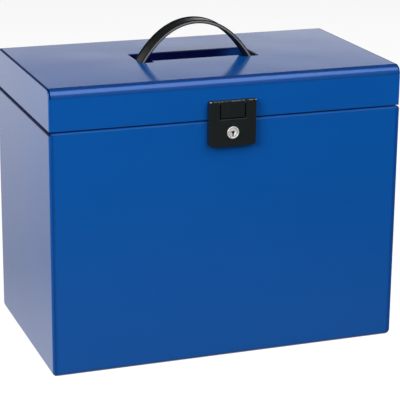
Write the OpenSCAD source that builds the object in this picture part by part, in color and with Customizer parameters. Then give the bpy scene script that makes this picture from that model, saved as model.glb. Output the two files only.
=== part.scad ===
// Portable steel file box: a painted sheet-metal case for hanging files, with a hinged lid,
// a springy strap handle over a finger recess, and a black key-locked hasp on the front.
// Frame: millimetres, +Z up, front towards -Y, +X to the right of someone facing the front.
// Origin: centre of the flat underside.

/* [Case] */
// Width of the case, left to right
box_w = 366; // [300:1:460]
// Depth of the case, front to back
box_d = 210; // [170:1:280]
// Height of the case from the table to the top of its rim
body_h = 248; // [160:1:320]
// Thickness of the steel sheet
sheet_t = 0.8; // [0.6:0.1:1.2]
// Outside radius of the bend along the bottom edges
bottom_bend_r = 5; // [3:0.5:8]
// Outside radius of the bend where the walls turn in at the rim
rim_bend_r = 2.5; // [1.5:0.1:4]
// Outside radius of the upright corners
corner_r = 1.8; // [1.3:0.1:2.2]
// How far the rim reaches in from the outside of the walls
rim_depth = 10; // [7:0.5:14]
// Width of the hem folded under the front and back rims
rim_hem = 4; // [2:0.5:6]
// Depth of the end panels' formed edge, out to the outside of the case
side_edge = 2.2; // [2.2:0.1:6]

/* [Lid] */
// Height of the lid
lid_h = 40.8; // [32:0.1:70]
// Gap between the rim and the lid's lower edge
seam_gap = 1.2; // [0.8:0.1:2]
// How much smaller the lid is than the case, on each side
lid_inset = 0.4; // [0.2:0.1:1]
// Outside radius of the lid's front and back bends
lid_bend_r = 9; // [5:0.5:14]
// Outside radius of the bend along the lid's left and right top edges
lid_side_bend_r = 1.8; // [1.3:0.1:3]
// Width of the relief slot at each end of a lid bend
relief_w = 1.4; // [1:0.1:2]
// Height of the hem folded inside the lid's lower edge
lid_hem_h = 6; // [4:0.5:10]

/* [File rails] */
// Distance between the two rails that hanging files hook over
rail_spacing = 330; // [250:1:400]
// Height of each rail above the rim
rail_h = 8.5; // [6:0.5:12]
// Thickness of the rail strip
rail_t = 1.0; // [0.8:0.1:1.5]
// Distance from each end of a rail to the inside of the rim
rail_end_gap = 1; // [0.5:0.5:5]
// Radius of the rails' top corners
rail_corner_r = 5; // [2:0.5:8]

/* [Hinge] */
// Length of the continuous hinge
hinge_len = 310; // [200:1:360]
// Number of knuckles
knuckle_count = 11; // [5:2:15]
// Outside diameter of the knuckles
knuckle_d = 5.4; // [4.6:0.1:7]
// Diameter of the hinge pin
hinge_pin_d = 2.6; // [2:0.1:3.4]
// Thickness of the hinge leaves
leaf_t = 1.0; // [0.8:0.1:1.4]
// Height of each hinge leaf from the pin
leaf_h = 15; // [12:0.5:24]
// Gap between neighbouring knuckles
knuckle_gap = 0.4; // [0.3:0.1:1]
// Number of rivets in each leaf
hinge_rivets = 5; // [2:1:7]
// Distance of the rivets from the hinge pin
hinge_rivet_z = 10; // [8:0.5:16]
// How far the pin sticks out at each end of the hinge
hinge_pin_stub = 0.5; // [0:0.1:2]

/* [Handle] */
// Span of the strap between its feet, on its middle line
strap_span = 115.7; // [90:0.1:150]
// Height of the strap's crown above the lid
strap_rise = 40.4; // [30:0.1:55]
// Width of the strap
strap_w = 21; // [16:0.5:28]
// Thickness of the strap between its edge beads
strap_t = 2.5; // [2:0.1:4]
// How much thicker the strap's edge beads are
bead_extra = 0.9; // [0.4:0.1:1.5]
// Width of each edge bead
bead_w = 2.6; // [1.5:0.1:4]
// How much is rounded off the corners of a bead
bead_round = 0.35; // [0.1:0.05:0.6]
// How far left of the middle the strap rests in its slots
strap_shift = 5; // [0:0.5:5.5]
// How far in front of the middle the strap lies
strap_y = 5.5; // [0:0.5:15]
// Width of the spring strip inside the strap
core_w = 11; // [6:0.5:14]
// Thickness of the spring strip inside the strap
core_t = 0.6; // [0.4:0.1:1]
// Gap between a stop bar and the tray's end wall with the strap pushed to one side
toe_bar_gap = 1; // [0.5:0.5:4]
// How far the stop bar stands out on each side of the strap
toe_bar_step = 3.5; // [2:0.5:7]
// Length of the stop bar, along the strap
toe_bar_l = 4; // [2:0.5:6]
// Gap between the strap ends and the lip above them
toe_clear = 0.4; // [0.2:0.1:1]
// Radius of the bend where the strap turns into its ends
heel_r = 2; // [1:0.5:2.4]

/* [Finger recess] */
// Length of the recess opening, left to right
recess_w = 131; // [110:1:170]
// Opening of the recess, front to back
recess_d = 37; // [28:1:60]
// How far behind the middle the recess lies
recess_y = 9.5; // [0:0.5:15]
// Depth of the recess below the lid's top
recess_depth = 14; // [10:0.5:22]
// Length of the widened ends of the opening that the strap passes through
strap_mouth = 16; // [10:0.5:24]
// Radius of the opening's corners
recess_corner_r = 1.5; // [0.5:0.5:3]
// Width of the recess tray's welded flange
tray_flange = 7; // [4:0.5:12]
// Radius of the flange's outer corners
flange_corner_r = 5; // [2:0.5:8]
// Gap between the opening's turned-down lip and the tray around it
lip_gap = 0.2; // [0.1:0.1:0.5]

/* [Hasp] */
// Width of the hasp at its back
hasp_w = 49; // [40:0.5:60]
// How far the hasp stands out from the case
hasp_depth = 7.2; // [6.4:0.1:10]
// How much the hasp narrows towards its front, on each side
hasp_draft = 1.6; // [0.5:0.1:3]
// Height of the hasp's pin above the rim
hasp_pin_z = 18.1; // [14:0.1:24]
// Radius of the hasp's hinge barrel
hasp_barrel_r = 3.2; // [2.6:0.1:3.6]
// Diameter of the hasp's hinge pin
hasp_pin_d = 2.4; // [2:0.1:3]
// Width of the fixed tab in the middle of the hasp
tab_w = 25; // [18:0.5:30]
// Gap between the tab and the hasp around it
tab_gap = 1.0; // [0.6:0.1:1.6]
// Height of the tab's lower edge above the lid's lower edge
tab_lift = 2.3; // [0.8:0.1:4]
// How far the tab's flat back lies below the top of the barrel
tab_shoulder = 1; // [0.5:0.1:2]
// Thickness of the hasp's front and side walls
hasp_wall = 1.6; // [1.2:0.1:2.4]
// Thickness of the hasp's bottom wall
hasp_floor = 2.2; // [1.6:0.1:3]
// Thickness of the hasp between its hollow and its notch
hasp_roof = 2; // [1.2:0.1:3]
// Radius of the hasp's lower corners
hasp_corner_r = 3.5; // [1:0.5:6]
// Radius of the thumb scoop under the tab
scoop_r = 8; // [5:0.5:12]
// Depth of the thumb scoop
scoop_depth = 0.8; // [0.4:0.1:1.2]
// Gap between the hasp's back and the case
hasp_gap = 0.4; // [0.3:0.1:1]

/* [Lock] */
// Diameter of the lock's bright rim
lock_d = 12.3; // [10:0.1:16]
// Diameter of the turning plug
plug_d = 9.2; // [7:0.1:11]
// Height of the lock's axis below the rim
lock_drop = 11.1; // [9:0.1:13]
// How far the lock's rim stands in front of the hasp
lock_stand = 0.5; // [0.3:0.1:1.2]
// How deep the lock's rim is let into the hasp
lock_sink = 0.8; // [0.4:0.1:1.2]
// Thickness of the sleeve around the plug
sleeve_t = 1; // [0.8:0.1:1.4]
// Thickness of the boss around the lock
boss_wall = 1.4; // [1:0.1:2]
// How far the boss stands behind the hasp's front wall
boss_l = 1.4; // [1:0.1:2]
// Thickness of the spring clip
clip_t = 0.5; // [0.3:0.1:0.8]
// Diameter of the keyhole
keyhole_d = 3; // [2:0.1:4]
// Width of the key slot below the keyhole
keyslot_w = 1.4; // [1:0.1:2]
// Depth of the keyhole
keyhole_l = 3; // [2:0.5:3.5]
// Width of the cam
cam_w = 4; // [3:0.1:5]
// Thickness of the cam
cam_t = 1.2; // [1:0.1:1.6]
// How far the cam reaches past the keeper's hook
cam_reach = 1; // [0.8:0.1:2]
// Gap all round the cam in the keeper's hook, and under its hanging tip
cam_room = 0.6; // [0.4:0.1:1]
// Gap between the lock's boss and the keeper's hook
hook_clear = 1.65; // [1.2:0.05:3]
// Height of the hook's bridge over the cam
hook_bridge = 1.7; // [1.2:0.1:2.5]
// Gap between the keeper plate and the flap's walls around it
keeper_room = 1.1; // [0.6:0.1:2]
// Thickness of the keeper plate
keeper_t = 1.1; // [0.8:0.1:1.6]

/* [Fits] */
// Radial clearance of a pin in its bore
run_clear = 0.05; // [0.02:0.01:0.1]
// Clearance of a sliding piece in its slot
slide_clear = 0.5; // [0.3:0.1:1]
// Radius of the rivet shanks
rivet_r = 1.6; // [1.2:0.1:2.2]
// Radius of the rivet heads
rivet_head_r = 3; // [2.4:0.1:4]
// Height of the rivet heads
rivet_head_h = 1; // [0.6:0.1:1.6]
// Least distance of a rivet head from an edge
rivet_edge = 1; // [0.5:0.1:2]

/* [Hidden] */
$fn = 64;
paint = "royalblue";
black = [0.12, 0.13, 0.14];
steel = "silver";
far = 1000;                                  // longer than anything in the box
eps = 0.01;

lid_w = box_w - 2*lid_inset;
lid_d = box_d - 2*lid_inset;
lid_z0 = body_h + seam_gap;
lid_z1 = lid_z0 + lid_h;
wrap_x = box_w/2 - side_edge;                // where the case's wrap meets its end panels
lid_wrap_x = lid_w/2 - sheet_t - relief_w;   // where the lid's wrap meets its end panels
rim_y = box_d/2 - rim_depth;
rim_x = box_w/2 - rim_depth;
hem_z = body_h - 2*sheet_t;

hinge_y = box_d/2 + knuckle_d/2;
hinge_z = body_h + seam_gap/2;
knuckle_l = hinge_len/knuckle_count;
rivet_pitch = (hinge_len - 2*knuckle_l)/(hinge_rivets - 1);
rivet_xs = [for (i = [0:hinge_rivets - 1]) -hinge_len/2 + knuckle_l + i*rivet_pitch];

lip_z = lid_z1 - 2*sheet_t;                  // lower edge of the opening's turned-down lip
toe_z1 = lip_z - toe_clear;                  // top of the strap ends
toe_z0 = toe_z1 - strap_t;
strap_mid_r = (pow(strap_span/2, 2) + pow(strap_rise - strap_t/2, 2))/(2*(strap_rise - strap_t/2));
strap_zc = lid_z1 + strap_rise - strap_t/2 - strap_mid_r;
foot_x = sqrt(pow(strap_mid_r, 2) - pow(toe_z1 - strap_zc, 2));
slot_y0 = -strap_y - strap_w/2 - slide_clear;
slot_y1 = -strap_y + strap_w/2 + slide_clear;
recess_y0 = recess_y - recess_d/2;
recess_y1 = recess_y + recess_d/2;
tray_gap = sheet_t + lip_gap;                // from the opening to the tray's walls
tray_y0 = slot_y0 - tray_gap;
tray_y1 = recess_y1 + tray_gap;
tray_x = recess_w/2 + tray_gap;
tray_r = recess_corner_r + tray_gap;
tray_z = lid_z1 - recess_depth;
toe_end = tray_x + sheet_t + toe_bar_gap + strap_shift + toe_bar_l;

case_y = -box_d/2;                           // front face of the case
lid_y = -lid_d/2;                            // front face of the lid
hasp_front = case_y - hasp_depth;
hasp_back = case_y - hasp_gap;
pin_y = hasp_front + hasp_barrel_r;
pin_z = body_h + hasp_pin_z;
hasp_z1 = pin_z + hasp_barrel_r;
tab_z0 = lid_z0 + tab_lift;
notch_z = tab_z0 - tab_gap;
notch_x = tab_w/2 + tab_gap;
hasp_side = hasp_draft + hasp_wall;          // from the flap's back edge to its hollow
screw_z = lid_z0 + lid_hem_h + rivet_head_r + rivet_edge;
screw_x = tab_w/2 - rivet_head_r - rivet_edge;
screw_l = 5;
screw_head_h = 1.6;

lock_z = body_h - lock_drop;
sleeve_r = plug_d/2 + sleeve_t;
boss_r = lock_d/2 + boss_wall;
boss_y = hasp_front + hasp_wall + boss_l;    // back of the lock's boss
clip_y = boss_y + clip_t;                    // back of the spring clip
cam_y0 = clip_y + 0.1;
cam_y1 = cam_y0 + cam_t;
cam_hub_r = cam_w/2 + 1.4;
cam_screw_r = 1.2;
keeper_x = boss_r + hook_clear;              // from the lock's axis to the keeper's hook
cam_len = keeper_x + keeper_t + cam_reach;
hasp_z0 = lock_z - cam_len - cam_room - hasp_floor;

keeper_y = case_y - keeper_t;
hook_y = cam_y0 - cam_room - keeper_t;       // front of the keeper's hook
hook_z0 = lock_z - cam_w;
slot_z1 = lock_z + cam_w/2 + cam_room;       // top of the hook's slot for the cam
keeper_x0 = hasp_side - hasp_w/2 + keeper_room;
keeper_z0 = hasp_z0 + hasp_floor + keeper_room;
keeper_z1 = body_h - rim_bend_r - hasp_gap;
keeper_rivet_x = keeper_x0 + rivet_head_r + rivet_edge;
keeper_rivet_zs = [keeper_z0 + rivet_head_r + rivet_edge, keeper_z1 - rivet_head_r - rivet_edge];

// ---- outlines ----

// Rectangle centred on x, from y0 to y1, with one radius for its lower and one for its upper corners
module bent_outline(w, y0, y1, r0, r1) {
    difference() {
        translate([-w/2, y0])
            square([w, y1 - y0]);
        for (s = [-1, 1]) {
            corner_cut(s*w/2, y0, s, -1, r0);
            corner_cut(s*w/2, y1, s, 1, r1);
        }
    }
}

// What a bend of radius r takes off the corner at (x, y), which points towards (sx, sy)
module corner_cut(x, y, sx, sy, r) {
    if (r > 0)
        translate([x, y])
            difference() {
                translate([sx > 0 ? -r : -1, sy > 0 ? -r : -1])
                    square([r + 1, r + 1]);
                translate([-sx*r, -sy*r])
                    circle(r);
            }
}

// Box whose bends show in plan, from the front and from the side
module bent_box(w, d, z0, z1, r_plan, r_low, r_top_x, r_top_y) {
    intersection() {
        translate([0, 0, z0])
            linear_extrude(z1 - z0)
                bent_outline(w, -d/2, d/2, r_plan, r_plan);
        translate([0, far/2, 0])
            rotate([90, 0, 0])
                linear_extrude(far)
                    bent_outline(w, z0, z1, r_low, r_top_x);
        translate([-far/2, 0, 0])
            rotate([90, 0, 90])
                linear_extrude(far)
                    bent_outline(d, z0, z1, r_low, r_top_y);
    }
}

// Slab that fills everything from x0 to x1
module slab_x(x0, x1) {
    translate([x0, -far/2, -far/2])
        cube([x1 - x0, far, far]);
}

// Box from one corner to the opposite one
module block(a, b) {
    translate(a)
        cube(b - a);
}

// Cylinder along X
module rod_x(x0, x1, y, z, r) {
    translate([x0, y, z])
        rotate([0, 90, 0])
            cylinder(h = x1 - x0, r = r);
}

// Cylinder along Y
module rod_y(x, y0, y1, z, r) {
    translate([x, y1, z])
        rotate([90, 0, 0])
            cylinder(h = y1 - y0, r = r);
}

// Rivet along Y through a joint from y0 to y1, with a domed head at each end
module rivet_y(x, y0, y1, z) {
    translate([x, y0, z])
        rotate([-90, 0, 0])
            rotate_extrude() {
                polygon([[0, -eps], [rivet_r, -eps], [rivet_r, y1 - y0 + eps], [0, y1 - y0 + eps]]);
                head_outline();
                translate([0, y1 - y0])
                    mirror([0, 1])
                        head_outline();
            }
}

// Half outline of a domed head that stands below y = 0
module head_outline() {
    dome_r = (pow(rivet_head_r, 2) + pow(rivet_head_h, 2))/(2*rivet_head_h);
    intersection() {
        translate([0, dome_r - rivet_head_h])
            circle(dome_r);
        translate([0, -rivet_head_h])
            square([rivet_head_r, rivet_head_h]);
    }
}

// ---- case ----

// Whole case shell before it is cut into its wrap and its end panels
module case_shell() {
    difference() {
        bent_box(box_w, box_d, 0, body_h, corner_r, bottom_bend_r, rim_bend_r, rim_bend_r);
        bent_box(box_w - 2*sheet_t, box_d - 2*sheet_t, sheet_t, body_h - sheet_t,
                 corner_r - sheet_t, bottom_bend_r - sheet_t, rim_bend_r - sheet_t,
                 rim_bend_r - sheet_t);
        block([-rim_x, -rim_y, body_h/2], [rim_x, rim_y, body_h + 1]);
    }
}

// Region that belongs to the end panel on side s (-1 left, 1 right): its edge, rim and bottom bend
module side_region(s) {
    translate([s > 0 ? wrap_x : -wrap_x - far, -far/2, -far/2])
        cube(far);
    block([s > 0 ? rim_x - 1 : -wrap_x - 1, -rim_y, body_h - rim_bend_r],
          [s > 0 ? wrap_x + 1 : 1 - rim_x, rim_y, body_h + 1]);
    block([s > 0 ? box_w/2 - bottom_bend_r : -wrap_x - 1, -far/2, -1],
          [s > 0 ? wrap_x + 1 : bottom_bend_r - box_w/2, far/2, bottom_bend_r]);
}

// Rivet holes of the hinge and the keeper
module case_holes() {
    for (x = rivet_xs)
        rod_y(x, box_d/2 - 5, box_d/2 + 5, hinge_z - hinge_rivet_z, rivet_r + run_clear);
    for (z = keeper_rivet_zs)
        rod_y(keeper_rivet_x, case_y - 5, case_y + 5, z, rivet_r + run_clear);
}

// Front, floor and back, bent from one sheet, with a hem under the front and back rims
module body_wrap() {
    color(paint)
        difference() {
            union() {
                difference() {
                    case_shell();
                    side_region(-1);
                    side_region(1);
                }
                for (s = [-1, 1])
                    block([-rail_spacing/2, s > 0 ? rim_y : -rim_y - rim_hem, hem_z],
                          [rail_spacing/2, s > 0 ? rim_y + rim_hem : -rim_y, hem_z + sheet_t]);
            }
            case_holes();
        }
}

// One end panel with its formed edge
module side_panel(s) {
    color(paint)
        intersection() {
            case_shell();
            side_region(s);
        }
}

module side_panel_left() {
    side_panel(-1);
}

module side_panel_right() {
    side_panel(1);
}

// Angle strip under the end panel's rim; hanging files hook over its upright
module file_rail(s) {
    y = rim_y - rail_end_gap;
    x_in = rail_spacing/2 - rail_t/2;
    x_out = box_w/2 - sheet_t - rim_bend_r;
    z0 = body_h - sheet_t - rail_t;
    color(paint)
        mirror([s > 0 ? 0 : 1, 0, 0])
            difference() {
                block([x_in, -y, z0], [x_out, y, body_h + rail_h]);
                block([x_in + rail_t, -y - 1, body_h - sheet_t], [x_out + 1, y + 1, body_h + rail_h + 1]);
                for (t = [-1, 1])
                    rail_corner(x_in, t*y, t);
            }
}

// Rounds the top corner at one end of a rail's upright
module rail_corner(x, y, t) {
    translate([x - 1, 0, 0])
        rotate([90, 0, 90])
            linear_extrude(rail_t + 2)
                corner_cut(y, body_h + rail_h, t, 1, rail_corner_r);
}

module file_rail_left() {
    file_rail(-1);
}

module file_rail_right() {
    file_rail(1);
}

// ---- hinge ----

// Knuckles of one leaf: every second one, starting with number first
module knuckles(first, r) {
    for (i = [first:2:knuckle_count - 1])
        rod_x(-hinge_len/2 + i*knuckle_l + knuckle_gap/2,
              -hinge_len/2 + (i + 1)*knuckle_l - knuckle_gap/2, hinge_y, hinge_z, r);
}

// Room around the other leaf's knuckles
module knuckle_room(first) {
    for (i = [first:2:knuckle_count - 1])
        rod_x(-hinge_len/2 + i*knuckle_l - knuckle_gap/2,
              -hinge_len/2 + (i + 1)*knuckle_l + knuckle_gap/2, hinge_y, hinge_z,
              knuckle_d/2 + knuckle_gap);
}

// One hinge leaf: a strip flat on the wall at y, reaching towards side s (-1 down, 1 up)
module hinge_leaf(y, s, first) {
    color(paint)
        difference() {
            union() {
                block([-hinge_len/2, y, s > 0 ? hinge_z : hinge_z - leaf_h],
                      [hinge_len/2, y + leaf_t, s > 0 ? hinge_z + leaf_h : hinge_z]);
                knuckles(first, knuckle_d/2);
            }
            knuckle_room(1 - first);
            rod_x(-hinge_len, hinge_len, hinge_y, hinge_z, hinge_pin_d/2 + run_clear);
            for (x = rivet_xs)
                rod_y(x, y - 1, y + leaf_t + 1, hinge_z + s*hinge_rivet_z, rivet_r + run_clear);
        }
}

module hinge_leaf_body() {
    hinge_leaf(box_d/2, -1, 0);
}

module hinge_leaf_lid() {
    hinge_leaf(lid_d/2, 1, 1);
}

module hinge_pin() {
    color(steel)
        rod_x(-hinge_len/2 - hinge_pin_stub, hinge_len/2 + hinge_pin_stub, hinge_y, hinge_z, hinge_pin_d/2);
}

// Rivets through a leaf at y and the wall inside it
module hinge_rivet_row(y, s) {
    color(steel)
        for (x = rivet_xs)
            rivet_y(x, y - sheet_t, y + leaf_t, hinge_z + s*hinge_rivet_z);
}

module hinge_rivets_body() {
    hinge_rivet_row(box_d/2, -1);
}

module hinge_rivets_lid() {
    hinge_rivet_row(lid_d/2, 1);
}

// ---- keeper ----

// Angle riveted to the case; its upright is a hook, open below, for the lock's cam
module keeper() {
    color(steel)
        difference() {
            union() {
                block([keeper_x0, keeper_y, keeper_z0], [-keeper_x, case_y, keeper_z1]);
                block([-keeper_x - keeper_t, hook_y, hook_z0], [-keeper_x, case_y, slot_z1 + hook_bridge]);
            }
            block([-keeper_x - keeper_t - 1, cam_y0 - cam_room, hook_z0 - 1],
                  [1 - keeper_x, cam_y1 + cam_room, slot_z1]);
            for (z = keeper_rivet_zs)
                rod_y(keeper_rivet_x, keeper_y - 1, case_y + 1, z, rivet_r + run_clear);
        }
}

module keeper_rivets() {
    color(steel)
        for (z = keeper_rivet_zs)
            rivet_y(keeper_rivet_x, keeper_y, case_y + sheet_t, z);
}

// ---- lid ----

// Whole lid shell before it is cut into its wrap and its end panels
module lid_shell() {
    difference() {
        bent_box(lid_w, lid_d, lid_z0, lid_z1, corner_r, 0, lid_side_bend_r, lid_bend_r);
        translate([0, 0, -1])
            bent_box(lid_w - 2*sheet_t, lid_d - 2*sheet_t, lid_z0, lid_z1 - sheet_t + 1,
                     corner_r - sheet_t, 0, lid_side_bend_r - sheet_t, lid_bend_r - sheet_t);
    }
}

// Outline of the hand opening, grown by g: the finger recess, wider at both ends for the strap
module hand_opening(g) {
    bent_outline(recess_w + 2*g, recess_y0 - g, recess_y1 + g, 0, recess_corner_r + g);
    difference() {
        bent_outline(recess_w + 2*g, slot_y0 - g, recess_y, recess_corner_r + g, 0);
        square([recess_w - 2*strap_mouth - 2*g, 4*recess_d], center = true);
    }
}

// Top, front and back of the lid, bent from one sheet, hemmed along the lower edges and with a
// lip turned down around the hand opening
module lid_wrap() {
    color(paint)
        difference() {
            union() {
                intersection() {
                    lid_shell();
                    slab_x(-lid_wrap_x, lid_wrap_x);
                }
                for (s = [-1, 1])
                    block([-lid_wrap_x, s > 0 ? lid_d/2 - 2*sheet_t : -lid_d/2 + sheet_t, lid_z0],
                          [lid_wrap_x, s > 0 ? lid_d/2 - sheet_t : -lid_d/2 + 2*sheet_t, lid_z0 + lid_hem_h]);
                translate([0, 0, lip_z])
                    linear_extrude(sheet_t + eps)
                        hand_opening(sheet_t);
            }
            translate([0, 0, lip_z - 1])
                linear_extrude(4)
                    hand_opening(0);
            for (x = rivet_xs)
                rod_y(x, lid_d/2 - 5, lid_d/2 + 5, hinge_z + hinge_rivet_z, rivet_r + run_clear);
            for (s = [-1, 1])
                rod_y(s*screw_x, lid_y - 5, lid_y + 5, screw_z, rivet_r + run_clear);
        }
}

// One end panel of the lid, with a relief slot beside each large bend
module lid_end(s) {
    color(paint)
        difference() {
            intersection() {
                lid_shell();
                slab_x(s > 0 ? lid_wrap_x : -far, s > 0 ? far : -lid_wrap_x);
            }
            for (t = [-1, 1])
                block([s > 0 ? lid_wrap_x - 1 : -lid_wrap_x - relief_w,
                       t > 0 ? lid_d/2 - lid_bend_r : -lid_d/2 - 1, lid_z1 - lid_bend_r],
                      [s > 0 ? lid_wrap_x + relief_w : 1 - lid_wrap_x,
                       t > 0 ? lid_d/2 + 1 : -lid_d/2 + lid_bend_r, lid_z1 + 1]);
        }
}

module lid_end_left() {
    lid_end(-1);
}

module lid_end_right() {
    lid_end(1);
}

// Pan welded under the opening; its end walls are slotted for the strap
module handle_tray() {
    z1 = lid_z1 - sheet_t;
    color(paint)
        difference() {
            union() {
                tray_solid(tray_x + sheet_t, sheet_t, tray_z - sheet_t, z1 - eps, tray_r + sheet_t);
                tray_solid(tray_x + tray_flange, tray_flange, z1 - sheet_t, z1, flange_corner_r);
            }
            tray_solid(tray_x, 0, tray_z, z1 + 1, tray_r);
            for (s = [-1, 1])
                block([s > 0 ? tray_x - 1 : -tray_x - sheet_t - eps, slot_y0, toe_z0 - slide_clear],
                      [s > 0 ? tray_x + sheet_t + eps : 1 - tray_x, slot_y1, z1 - sheet_t]);
        }
}

// Block with the tray's plan outline, grown by g at front and back
module tray_solid(x, g, z0, z1, r) {
    translate([0, 0, z0])
        linear_extrude(z1 - z0)
            bent_outline(2*x, tray_y0 - g, tray_y1 + g, r, r);
}

// ---- handle ----

// Cross-section of the strap at radius strap_mid_r: a flat band with a round bead along each edge
module strap_section() {
    translate([strap_mid_r, 0]) {
        square([strap_t, strap_w - bead_w], center = true);
        for (s = [-1, 1])
            translate([0, s*(strap_w - bead_w)/2])
                bead_section();
    }
}

// One edge bead: thicker than the band, with rounded faces
module bead_section() {
    b = strap_t + bead_extra;
    intersection() {
        square([b, bead_w], center = true);
        circle(sqrt(b*b + bead_w*bead_w)/2 - bead_round);
    }
}

// Arc of a section about the strap's centre, cut flat where it meets the strap ends
module strap_arc() {
    intersection() {
        translate([-strap_shift, -strap_y, strap_zc])
            rotate([90, 0, 0])
                rotate_extrude(angle = 180)
                    children();
        translate([-far/2, -far/2, toe_z1])
            cube(far);
    }
}

module handle_strap() {
    color(black)
        difference() {
            strap_arc()
                strap_section();
            strap_arc()
                translate([strap_mid_r, 0])
                    square([core_t + 2*run_clear, core_w + 2*run_clear], center = true);
        }
}

module handle_core() {
    color(steel)
        strap_arc()
            translate([strap_mid_r, 0])
                square([core_t, core_w], center = true);
}

// End of the strap on side s: it lies under the lid and its stop bar is too wide for the slot
module strap_end(s) {
    heel = foot_x - strap_t;
    bar_y = strap_w/2 + toe_bar_step;
    color(black)
        translate([-strap_shift, -strap_y, 0])
            mirror([s > 0 ? 0 : 1, 0, 0])
                difference() {
                    union() {
                        block([heel, -strap_w/2, toe_z0], [toe_end, strap_w/2, toe_z1]);
                        block([toe_end - toe_bar_l, -bar_y, toe_z0], [toe_end, bar_y, toe_z1]);
                    }
                    translate([heel, far/2, toe_z0])
                        rotate([90, 0, 0])
                            linear_extrude(far)
                                corner_cut(0, 0, -1, -1, heel_r);
                }
}

module strap_end_left() {
    strap_end(-1);
}

module strap_end_right() {
    strap_end(1);
}

// ---- hasp ----

// Side outline of the hasp in y and z: flat back and front, a round barrel on top
module hasp_profile(z0, y_back) {
    translate([hasp_front, z0])
        square([y_back - hasp_front, pin_z - z0]);
    translate([pin_y, pin_z])
        circle(hasp_barrel_r);
}

// Plan outline of the hasp: a trapezium, narrower in front
module hasp_plan(w, draft) {
    polygon([[-w/2, hasp_back + 1], [w/2, hasp_back + 1], [w/2, hasp_back],
             [w/2 - draft, hasp_front], [draft - w/2, hasp_front], [-w/2, hasp_back]]);
}

// Outside of the hasp, without its notch
module hasp_form() {
    intersection() {
        translate([-far/2, 0, 0])
            rotate([90, 0, 90])
                linear_extrude(far)
                    difference() {
                        hasp_profile(hasp_z0, hasp_back);
                        translate([hasp_back, pin_z - hasp_gap])
                            square(hasp_barrel_r + 1);
                    }
        translate([0, 0, hasp_z0])
            linear_extrude(hasp_z1 - hasp_z0 + 1)
                hasp_plan(hasp_w, hasp_draft);
        translate([0, far/2, 0])
            rotate([90, 0, 0])
                linear_extrude(far)
                    bent_outline(hasp_w, hasp_z0, hasp_z1 + 1, hasp_corner_r, 0);
    }
}

// Hollow at the back of the hasp, split by the lock's boss
module hasp_hollow() {
    difference() {
        block([hasp_side - hasp_w/2, hasp_front + hasp_wall, hasp_z0 + hasp_floor],
              [hasp_w/2 - hasp_side, case_y, notch_z - hasp_roof]);
        rod_y(0, hasp_front, boss_y, lock_z, boss_r);
    }
}

module hasp_flap() {
    color(black)
        difference() {
            hasp_form();
            block([-notch_x, hasp_front - 1, notch_z], [notch_x, case_y + 1, hasp_z1 + 1]);
            hasp_hollow();
            rod_y(0, hasp_front - 1, case_y, lock_z, sleeve_r);
            rod_y(0, hasp_front - 1, hasp_front + lock_sink, lock_z, lock_d/2 + run_clear);
            block([hasp_side - hasp_w/2, hasp_front + hasp_wall, hasp_z0 - 1],
                  [2*cam_room - keeper_x, case_y + 1, hasp_z0 + hasp_floor + 1]);
            rod_x(-hasp_w, hasp_w, pin_y, pin_z, hasp_pin_d/2 + run_clear);
            translate([0, hasp_front + scoop_depth - scoop_r, notch_z - 2*scoop_depth])
                sphere(scoop_r);
        }
}

// Fixed block on the lid that the flap hangs from
module hasp_tab() {
    color(black)
        difference() {
            intersection() {
                translate([-far/2, 0, 0])
                    rotate([90, 0, 90])
                        linear_extrude(far) {
                            hasp_profile(tab_z0, lid_y);
                            translate([pin_y, tab_z0])
                                square([lid_y - pin_y, hasp_z1 - tab_shoulder - tab_z0]);
                        }
                slab_x(-tab_w/2, tab_w/2);
            }
            rod_x(-tab_w, tab_w, pin_y, pin_z, hasp_pin_d/2 + run_clear);
            for (s = [-1, 1])
                rod_y(s*screw_x, lid_y - screw_l, lid_y + 1, screw_z, rivet_r);
        }
}

// Screws from inside the lid into the tab
module hasp_tab_screws() {
    color(steel)
        for (s = [-1, 1]) {
            rod_y(s*screw_x, lid_y - screw_l, lid_y + sheet_t + eps, screw_z, rivet_r);
            rod_y(s*screw_x, lid_y + sheet_t, lid_y + sheet_t + screw_head_h, screw_z, rivet_head_r);
        }
}

module hasp_pin() {
    x = hasp_w/2 - hasp_draft;
    color(steel)
        rod_x(-x, x, pin_y, pin_z, hasp_pin_d/2);
}

// ---- lock ----

// Bright housing fixed in the flap: a flat rim in front, a thin sleeve through the boss
module lock_barrel() {
    color(steel)
        difference() {
            union() {
                rod_y(0, hasp_front - lock_stand, hasp_front + lock_sink, lock_z, lock_d/2);
                rod_y(0, hasp_front, clip_y, lock_z, sleeve_r - run_clear);
            }
            rod_y(0, hasp_front - 2, cam_y1, lock_z, plug_d/2 + run_clear);
        }
}

// Spring clip behind the boss
module lock_clip() {
    color(steel)
        difference() {
            rod_y(0, boss_y, clip_y, lock_z, boss_r - run_clear);
            rod_y(0, boss_y - 1, clip_y + 1, lock_z, sleeve_r);
            block([-sleeve_r/4, boss_y - 1, lock_z - lock_d], [sleeve_r/4, clip_y + 1, lock_z]);
        }
}

// Turning plug with a round keyhole and a slot below it
module lock_plug() {
    color(steel)
        difference() {
            rod_y(0, hasp_front - lock_stand/2, cam_y0, lock_z, plug_d/2);
            rod_y(0, hasp_front - 1, hasp_front + keyhole_l, lock_z, keyhole_d/2);
            block([-keyslot_w/2, hasp_front - 1, lock_z - plug_d/2 + keyslot_w/2],
                  [keyslot_w/2, hasp_front + keyhole_l, lock_z]);
        }
}

// Flat cam on the back of the plug, pointing down while the lock is open
module lock_cam() {
    color(steel)
        difference() {
            union() {
                rod_y(0, cam_y0, cam_y1, lock_z, cam_hub_r);
                block([-cam_w/2, cam_y0, lock_z - cam_len], [cam_w/2, cam_y1, lock_z]);
            }
            rod_y(0, cam_y0 - 1, cam_y1 + 1, lock_z, cam_screw_r);
        }
}

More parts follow.
